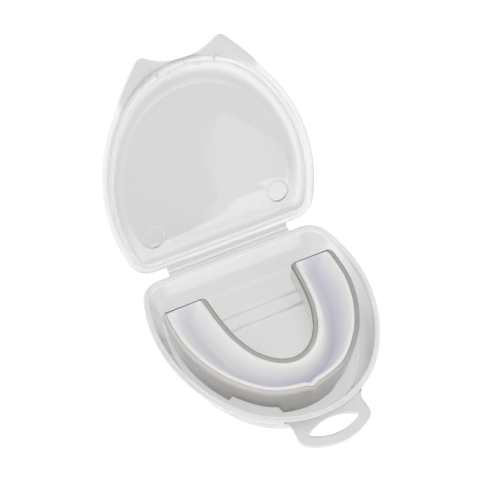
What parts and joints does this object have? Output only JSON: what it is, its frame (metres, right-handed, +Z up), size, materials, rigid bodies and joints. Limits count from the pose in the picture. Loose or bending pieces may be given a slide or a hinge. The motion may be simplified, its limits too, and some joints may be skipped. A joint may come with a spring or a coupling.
{
  "type": "mouthguard with case",
  "caption": "Sports mouthguard, clear shell with soft white liner, lying in a hinged translucent case with finger tabs and a carry loop.",
  "frame": {"origin": "middle of the tray's flat underside, on the surface that the case stands on", "axes": "+X along the hinge, towards the right ear of the open lid; +Y towards the hinge and the open lid, -Y towards the carry loop; +Z up"},
  "size_m": [0.0836, 0.1291, 0.0873],
  "materials": {
    "case_plastic": "translucent natural polypropylene, satin moulded surface",
    "guard_shell": "clear smoke-tinted thermoplastic elastomer, glossy",
    "guard_liner": "opaque white soft elastomer, satin"
  },
  "bodies": {
    "base": {"base_tray": "case_plastic", "carry_loop": "case_plastic", "tray_rib": "case_plastic", "hinge_leaf_base": "case_plastic", "hinge_film": "case_plastic"},
    "lid": {"lid_shell": "case_plastic", "lid_ear_left": "case_plastic", "lid_ear_right": "case_plastic", "plug_rib_left": "case_plastic", "plug_rib_right": "case_plastic", "snap_tongue_left": "case_plastic", "snap_tongue_right": "case_plastic", "snap_bump_left": "case_plastic", "snap_bump_right": "case_plastic", "hinge_leaf_lid": "case_plastic"},
    "mouthguard": {"guard_shell": "guard_shell", "guard_liner": "guard_liner", "molar_pad_left": "guard_shell", "molar_pad_right": "guard_shell", "front_pad": "guard_shell"}
  },
  "joints": [
    {"name": "lid_hinge", "type": "hinge", "parent": "base", "child": "lid", "pos_m": [0, 0.038, 0.016], "axis": [-1, 0, 0], "range_deg": [-118, 62]},
    {"name": "guard_lift", "type": "slide", "parent": "base", "child": "mouthguard", "axis": [0, 0, 1], "range_m": [0, 0.0015]}
  ]
}
